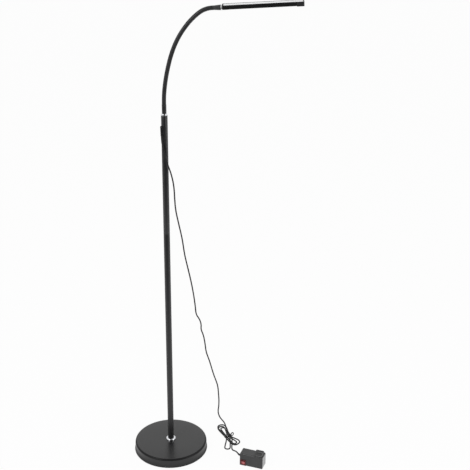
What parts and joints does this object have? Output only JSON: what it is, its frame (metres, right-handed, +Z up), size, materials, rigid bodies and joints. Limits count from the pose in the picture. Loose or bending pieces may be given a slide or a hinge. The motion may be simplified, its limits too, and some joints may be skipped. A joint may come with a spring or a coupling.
{
  "type": "corner floor lamp",
  "caption": "Corner floor lamp: round weighted base, slim black pole, gooseneck and flat light head, its cord tied in a hank, and a plug-in adapter with a rocker switch.",
  "frame": {"origin": "centre of the base's underside, on the floor", "axes": "+Z up along the pole, +X the way the neck bends over and the light head points"},
  "size_m": [0.5398, 0.3302, 1.5513],
  "materials": {
    "black_paint": "satin",
    "black_sleeve": "matte",
    "black_extrusion": "satin",
    "silver_strip": "satin",
    "chrome": "polished",
    "steel": "satin",
    "ballast": "matte",
    "foam_pad": "matte",
    "cord_sheath": "satin",
    "lead_sheath": "matte",
    "black_plastic": "satin",
    "tie_plastic": "matte",
    "opal_plastic": "matte",
    "board_aluminium": "matte",
    "chip_plastic": "matte",
    "board_laminate": "satin",
    "core_steel": "matte",
    "pin_plating": "polished",
    "red_plastic": "gloss"
  },
  "bodies": {
    "stand": {"base_shell": "black_paint", "base_weight": "ballast", "base_plate": "steel", "floor_pad": "foam_pad", "base_washer": "steel", "base_nut": "steel", "base_stud": "steel", "foot_bush": "steel", "foot_collar": "chrome", "pole_lower": "black_paint", "pole_middle": "black_paint", "pole_upper": "black_paint", "pole_couplers": "steel", "pole_cap": "chrome", "neck_bush": "steel", "neck_ferrule": "black_paint", "pole_lead": "lead_sheath", "cord_boot": "cord_sheath", "supply_cord": "cord_sheath", "cord_hank": "cord_sheath", "tail_cord": "cord_sheath", "hank_tie": "tie_plastic", "adapter_relief": "cord_sheath", "adapter_shell": "black_plastic", "adapter_cover": "black_plastic", "adapter_board": "board_laminate", "adapter_transformer": "core_steel", "plug_plate": "black_plastic", "plug_pins": "pin_plating", "switch_bezel": "black_plastic"},
    "link_1": {"neck_link_1": "black_sleeve", "neck_lead_1": "lead_sheath"},
    "link_2": {"neck_link_2": "black_sleeve", "neck_lead_2": "lead_sheath"},
    "link_3": {"neck_link_3": "black_sleeve", "neck_lead_3": "lead_sheath"},
    "link_4": {"neck_link_4": "black_sleeve", "neck_lead_4": "lead_sheath"},
    "link_5": {"neck_link_5": "black_sleeve", "neck_lead_5": "lead_sheath"},
    "link_6": {"neck_link_6": "black_sleeve", "neck_lead_6": "lead_sheath"},
    "link_7": {"neck_link_7": "black_sleeve", "neck_lead_7": "lead_sheath"},
    "link_8": {"neck_link_8": "black_sleeve", "neck_lead_8": "lead_sheath"},
    "head": {"head_ferrule": "black_paint", "head_ring": "chrome", "head_socket": "black_extrusion", "head_screws": "steel", "head_housing": "black_extrusion", "head_strip": "silver_strip", "head_end_cap": "black_plastic", "head_diffuser": "opal_plastic", "head_lead": "lead_sheath", "led_board": "board_aluminium", "led_chips": "chip_plastic", "driver_board": "board_laminate"},
    "rocker": {"power_rocker": "red_plastic"}
  },
  "joints": [
    {"name": "neck_bend_1", "type": "hinge", "parent": "stand", "child": "link_1", "pos_m": [0, 0, 1.2405], "axis": [0.0175, 0.9998, 0], "range_deg": [-18, 18]},
    {"name": "neck_sway_2", "type": "hinge", "parent": "link_1", "child": "link_2", "pos_m": [0.00244, 0, 1.28341], "axis": [0.9936, 0, -0.1132], "range_deg": [-18, 18]},
    {"name": "neck_bend_3", "type": "hinge", "parent": "link_2", "child": "link_3", "pos_m": [0.00898, 0, 1.3259], "axis": [0.0171, 0.9998, -0.0033], "range_deg": [-18, 18]},
    {"name": "neck_sway_4", "type": "hinge", "parent": "link_3", "child": "link_4", "pos_m": [0.01865, 0, 1.36779], "axis": [0.9659, 0, -0.2588], "range_deg": [-18, 18]},
    {"name": "neck_bend_5", "type": "hinge", "parent": "link_4", "child": "link_5", "pos_m": [0.03211, 0, 1.4086], "axis": [0.0162, 0.9998, -0.0064], "range_deg": [-18, 18]},
    {"name": "neck_sway_6", "type": "hinge", "parent": "link_5", "child": "link_6", "pos_m": [0.0511, 0, 1.44712], "axis": [0.8572, 0, -0.515], "range_deg": [-18, 18]},
    {"name": "neck_bend_7", "type": "hinge", "parent": "link_6", "child": "link_7", "pos_m": [0.07605, 0, 1.48209], "axis": [0.0134, 0.9998, -0.0112], "range_deg": [-18, 18]},
    {"name": "neck_sway_8", "type": "hinge", "parent": "link_7", "child": "link_8", "pos_m": [0.10692, 0, 1.51191], "axis": [0.6157, 0, -0.788], "range_deg": [-18, 18]},
    {"name": "neck_bend_9", "type": "hinge", "parent": "link_8", "child": "head", "pos_m": [0.14653, 0, 1.52692], "axis": [0.0011, 0.9998, -0.0174], "range_deg": [-18, 18]},
    {"name": "rocker_hinge", "type": "hinge", "parent": "stand", "child": "rocker", "pos_m": [0.25432, -0.0974, 0.0126], "axis": [0.9461, -0.3239, 0], "range_deg": [-14, 0]}
  ]
}
